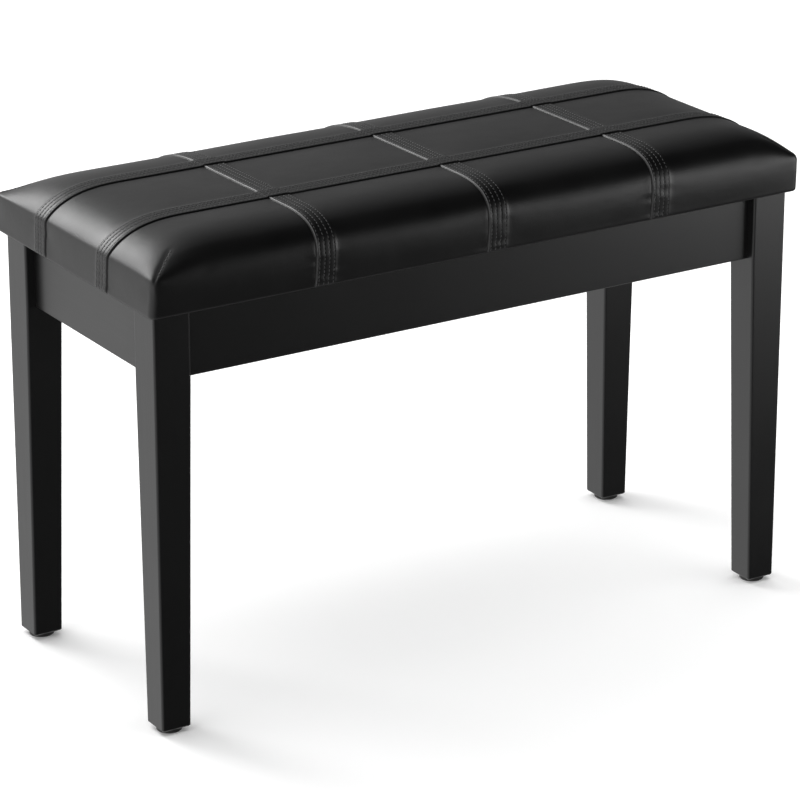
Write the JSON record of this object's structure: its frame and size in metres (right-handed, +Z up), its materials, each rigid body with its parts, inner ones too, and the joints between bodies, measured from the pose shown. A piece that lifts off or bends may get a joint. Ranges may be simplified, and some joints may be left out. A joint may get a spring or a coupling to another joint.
{
  "type": "piano bench",
  "caption": "Storage piano bench: padded leatherette lid with lapped, stitched bands over a shallow box on tapered legs; the lid hinges at the back on folding stays.",
  "frame": {"origin": "on the floor, under the middle of the lid", "axes": "+X along the bench, +Y towards the hinged back edge, +Z up; the lid's opening edge faces -Y"},
  "size_m": [0.76, 0.325, 0.5],
  "materials": {
    "lacquered_wood": "satin black lacquer",
    "bare_wood": "planed, unfinished",
    "panel_board": "black-faced board",
    "lid_plywood": "raw plywood",
    "glide_plastic": "matte",
    "bumper_rubber": "matte",
    "leatherette": "smooth semi-gloss",
    "foam": "open-cell foam",
    "dust_cloth": "non-woven",
    "plated_steel": "nickel plated",
    "zinc_steel": "zinc plated"
  },
  "bodies": {
    "root": {"apron_front": "lacquered_wood", "apron_left": "lacquered_wood", "apron_rear": "lacquered_wood", "apron_right": "lacquered_wood", "block_screws": "zinc_steel", "corner_block_front_left": "bare_wood", "corner_block_front_right": "bare_wood", "corner_block_rear_left": "bare_wood", "corner_block_rear_right": "bare_wood", "glide_front_left": "glide_plastic", "glide_front_right": "glide_plastic", "glide_nails": "zinc_steel", "glide_rear_left": "glide_plastic", "glide_rear_right": "glide_plastic", "hinge_leaf_frame_left": "plated_steel", "hinge_leaf_frame_right": "plated_steel", "hinge_pin_left": "plated_steel", "hinge_pin_right": "plated_steel", "hinge_screws_frame": "zinc_steel", "leg_bolts": "zinc_steel", "leg_front_left": "lacquered_wood", "leg_front_right": "lacquered_wood", "leg_nuts": "zinc_steel", "leg_rear_left": "lacquered_wood", "leg_rear_right": "lacquered_wood", "leg_washers": "zinc_steel", "lid_bumpers": "bumper_rubber", "stay_base_bracket_left": "plated_steel", "stay_base_bracket_right": "plated_steel", "stay_base_rivet_left": "plated_steel", "stay_base_rivet_right": "plated_steel", "stay_base_screws": "zinc_steel", "storage_floor": "panel_board"},
    "lid": {"hinge_leaf_lid_left": "plated_steel", "hinge_leaf_lid_right": "plated_steel", "hinge_screws_lid": "zinc_steel", "lid_board": "lid_plywood", "lid_lining": "dust_cloth", "lid_staples": "zinc_steel", "seat_cover": "leatherette", "seat_foam": "foam", "stay_lid_bracket_left": "plated_steel", "stay_lid_bracket_right": "plated_steel", "stay_lid_rivet_left": "plated_steel", "stay_lid_rivet_right": "plated_steel", "stay_lid_screws": "zinc_steel"},
    "stay_lower_left": {"stay_lower_link_left": "plated_steel"},
    "stay_upper_left": {"stay_upper_link_left": "plated_steel", "stay_elbow_rivet_left": "plated_steel", "stay_upper_rivet_left": "plated_steel"},
    "stay_lower_right": {"stay_lower_link_right": "plated_steel"},
    "stay_upper_right": {"stay_upper_link_right": "plated_steel", "stay_elbow_rivet_right": "plated_steel", "stay_upper_rivet_right": "plated_steel"}
  },
  "joints": [
    {"name": "lid_hinge", "type": "hinge", "parent": "root", "child": "lid", "pos_m": [0, 0.1551, 0.4344], "axis": [-1, 0, 0], "range_deg": [0, 85]},
    {"name": "stay_base_left", "type": "hinge", "parent": "root", "child": "stay_lower_left", "pos_m": [-0.3441, 0.0745, 0.3903], "axis": [-1, 0, 0], "range_deg": [0, 98]},
    {"name": "stay_elbow_left", "type": "hinge", "parent": "stay_lower_left", "child": "stay_upper_left", "pos_m": [-0.3441, 0.0189, 0.38979], "axis": [-1, 0, 0], "range_deg": [-113, 0]},
    {"name": "stay_base_right", "type": "hinge", "parent": "root", "child": "stay_lower_right", "pos_m": [0.3441, 0.0745, 0.3903], "axis": [-1, 0, 0], "range_deg": [0, 98]},
    {"name": "stay_elbow_right", "type": "hinge", "parent": "stay_lower_right", "child": "stay_upper_right", "pos_m": [0.3441, 0.0189, 0.38979], "axis": [-1, 0, 0], "range_deg": [-113, 0]}
  ],
  "couplings": [
    {"joint": "stay_base_left", "follows": "lid_hinge", "ratio": 1.1525},
    {"joint": "stay_elbow_left", "follows": "lid_hinge", "ratio": -1.3271},
    {"joint": "stay_base_right", "follows": "lid_hinge", "ratio": 1.1525},
    {"joint": "stay_elbow_right", "follows": "lid_hinge", "ratio": -1.3271}
  ]
}
